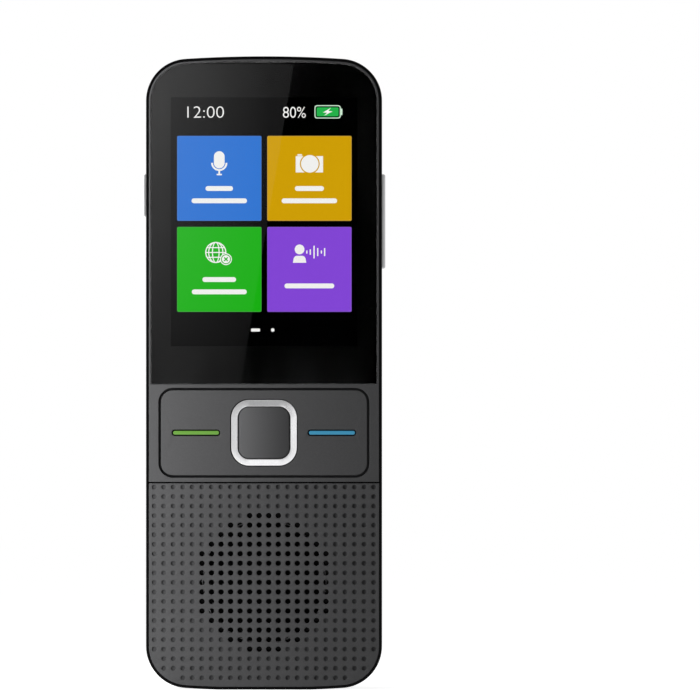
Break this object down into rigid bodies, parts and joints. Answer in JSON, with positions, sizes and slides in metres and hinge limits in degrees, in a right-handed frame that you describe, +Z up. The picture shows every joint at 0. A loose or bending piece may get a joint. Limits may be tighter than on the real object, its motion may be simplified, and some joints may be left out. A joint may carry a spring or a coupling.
{
  "type": "handheld translator",
  "caption": "Slim upright handheld translator with a touch screen, a rocking key plate round a square key, a speaker grille, side keys and a battery cover on its back.",
  "frame": {"origin": "centre of the bounding box at the bottom end, on the surface the device stands on", "axes": "+Z up along the device, +X to the right as seen from the front, +Y towards the back"},
  "size_m": [0.0478, 0.013, 0.1245],
  "materials": {
    "gloss_black": "gloss black moulding",
    "grey_plastic": "dark grey satin moulding",
    "cover_glass": "black backed cover glass",
    "silver": "satin silver plating",
    "green_light": "green light guide",
    "blue_light": "blue light guide",
    "board": "green circuit board",
    "steel": "stamped steel",
    "flash_yellow": "yellow diffuser",
    "display": "lit display",
    "ribbon": "amber flexible circuit",
    "foam": "foam and paper",
    "magnet": "plated magnet",
    "soft_black": "soft black moulding",
    "cell_wrap": "wrapped cell",
    "inner_plastic": "black moulding",
    "brass": "gold plated spring",
    "lens_grey": "grey lens surround"
  },
  "bodies": {
    "handset": {"front_housing": "gloss_black", "front_bezel": "grey_plastic", "touch_glass": "cover_glass", "speaker_grille": "grey_plastic", "key_ring": "silver", "keypad_board": "board", "dome_left": "steel", "dome_middle": "steel", "dome_right": "steel", "bar_emitter_left": "flash_yellow", "bar_emitter_right": "flash_yellow", "power_switch": "steel", "volume_up_switch": "steel", "volume_down_switch": "steel", "display_module": "display", "display_frame": "steel", "display_ribbon": "ribbon", "main_board": "board", "processor_shield": "steel", "radio_shield": "steel", "keypad_ribbon": "ribbon", "speaker_gasket": "foam", "speaker_basket": "steel", "speaker_cone": "foam", "speaker_magnet": "magnet", "lower_board": "board", "charging_socket": "steel", "microphone": "steel", "rear_housing": "soft_black", "contact_block": "inner_plastic", "battery_contact_1": "brass", "battery_contact_2": "brass", "battery_contact_3": "brass", "screw_lower_left": "steel", "screw_lower_right": "steel", "screw_upper_left": "steel", "screw_upper_right": "steel", "camera_plate": "soft_black", "lens_surround": "lens_grey", "camera_lens": "cover_glass", "flash_diffuser": "flash_yellow", "camera_module": "inner_plastic", "camera_bracket": "inner_plastic", "flash_emitter": "flash_yellow", "antenna": "ribbon"},
    "ok_key": {"ok_key": "grey_plastic"},
    "key_plate": {"key_plate": "grey_plastic", "green_light_bar": "green_light", "blue_light_bar": "blue_light"},
    "power_key": {"power_key": "silver"},
    "volume_key": {"volume_key": "silver"},
    "battery_cover": {"battery_cover": "soft_black"},
    "battery": {"battery_cell": "cell_wrap", "battery_head": "inner_plastic"}
  },
  "joints": [
    {"name": "ok_key_press", "type": "slide", "parent": "handset", "child": "ok_key", "axis": [0, 1, 0], "range_m": [0, 0.0003], "stiffness_N_per_m": 1000},
    {"name": "key_plate_rock", "type": "hinge", "parent": "handset", "child": "key_plate", "pos_m": [0, -0.00407, 0.0505], "axis": [0, 0, 1], "range_deg": [-0.9, 0.9], "stiffness_Nm_per_rad": 0.2},
    {"name": "power_key_press", "type": "slide", "parent": "handset", "child": "power_key", "axis": [1, 0, 0], "range_m": [0, 0.0004], "stiffness_N_per_m": 800},
    {"name": "volume_key_rock", "type": "hinge", "parent": "handset", "child": "volume_key", "pos_m": [0.02107, -0.00042, 0.09222], "axis": [0, 1, 0], "range_deg": [-2, 2], "stiffness_Nm_per_rad": 0.02},
    {"name": "battery_cover_lift", "type": "slide", "parent": "handset", "child": "battery_cover", "axis": [0, 1, 0], "range_m": [0, 0.03]},
    {"name": "battery_lift", "type": "slide", "parent": "handset", "child": "battery", "axis": [0, 1, 0], "range_m": [0, 0.015]}
  ],
  "couplings": [
    {"joint": "battery_lift", "follows": "battery_cover_lift", "ratio": 0.5}
  ]
}
